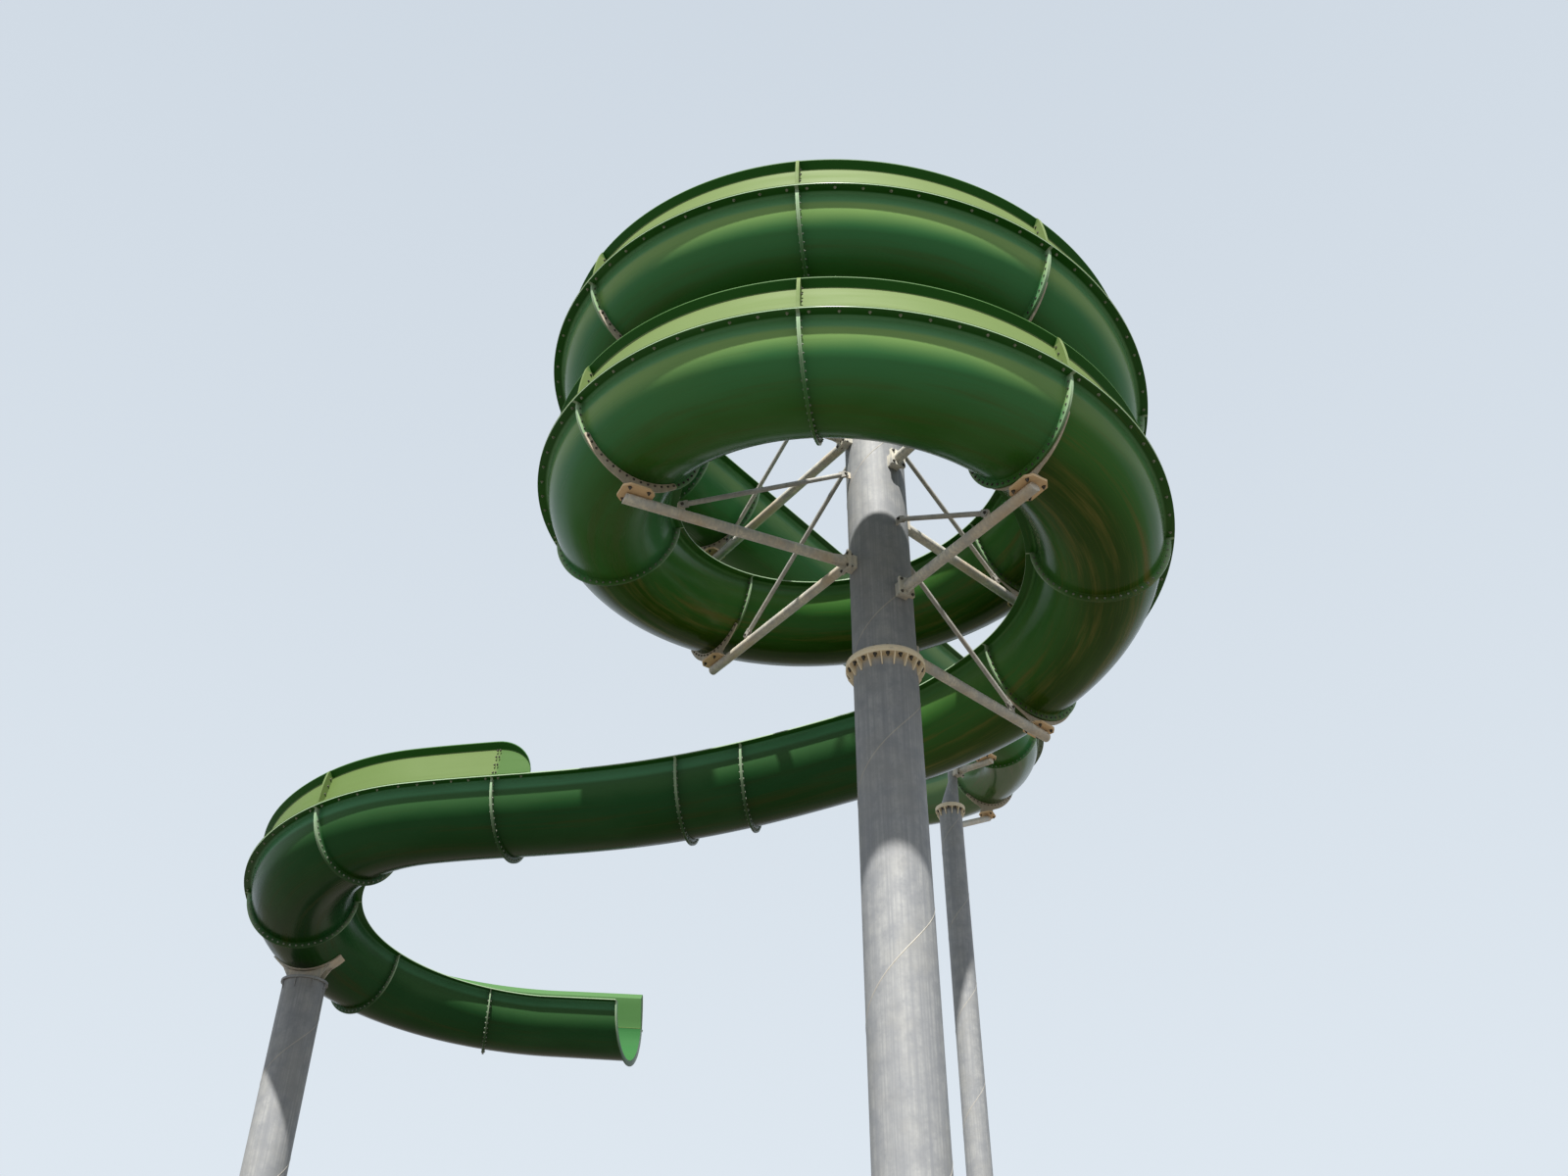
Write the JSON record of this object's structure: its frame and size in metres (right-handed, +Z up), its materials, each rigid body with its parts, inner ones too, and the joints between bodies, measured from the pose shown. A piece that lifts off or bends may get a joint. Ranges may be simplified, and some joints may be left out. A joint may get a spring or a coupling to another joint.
{
  "type": "water slide tower",
  "caption": "Open flume that comes down in a spiral round a tall round steel column, with an entry run, an exit run and a large loop on posts.",
  "frame": {"origin": "centre of the underside of the column's base plate, at ground level", "axes": "+Z up, -Y towards the front of the spiral, +X to the right seen from the front"},
  "size_m": [11.106, 15.986, 13.5278],
  "materials": {
    "trough": "glossy dark green glass fibre",
    "guard_wall": "glossy light green glass fibre",
    "column": "weathered light grey, water streaks",
    "bracket": "weathered galvanised grey with rust tint"
  },
  "bodies": {
    "root": {"spiral_01": "trough", "spiral_02": "trough", "spiral_03": "trough", "spiral_04": "trough", "spiral_05": "trough", "spiral_06": "trough", "spiral_07": "trough", "spiral_08": "trough", "spiral_09": "trough", "spiral_10": "trough", "spiral_11": "trough", "spiral_12": "trough", "spiral_13": "trough", "spiral_14": "trough", "spiral_15": "trough", "spiral_guard_1": "guard_wall", "spiral_guard_2": "guard_wall", "spiral_guard_3": "guard_wall", "spiral_guard_4": "guard_wall", "spiral_guard_5": "guard_wall", "spiral_guard_6": "guard_wall", "spiral_guard_7": "guard_wall", "spiral_guard_8": "guard_wall", "entry_1": "trough", "entry_2": "trough", "entry_3": "trough", "entry_4": "trough", "entry_5": "trough", "entry_6": "trough", "entry_guard": "guard_wall", "exit_1": "trough", "exit_2": "trough", "exit_3": "trough", "exit_4": "trough", "loop_1": "trough", "loop_2": "trough", "loop_3": "trough", "loop_4": "trough", "exit_guard": "guard_wall", "loop_guard_1": "guard_wall", "loop_guard_2": "guard_wall", "column_lower": "column", "column_upper": "column", "column_base": "column", "arm_1": "bracket", "arm_2": "bracket", "arm_3": "bracket", "arm_4": "bracket", "arm_5": "bracket", "arm_6": "bracket", "arm_7": "bracket", "arm_8": "bracket", "loop_post": "column", "loop_post_base": "column", "loop_cradle": "bracket", "entry_post": "column", "entry_post_base": "column", "entry_arm_1": "bracket", "entry_arm_2": "bracket"}
  },
  "joints": []
}
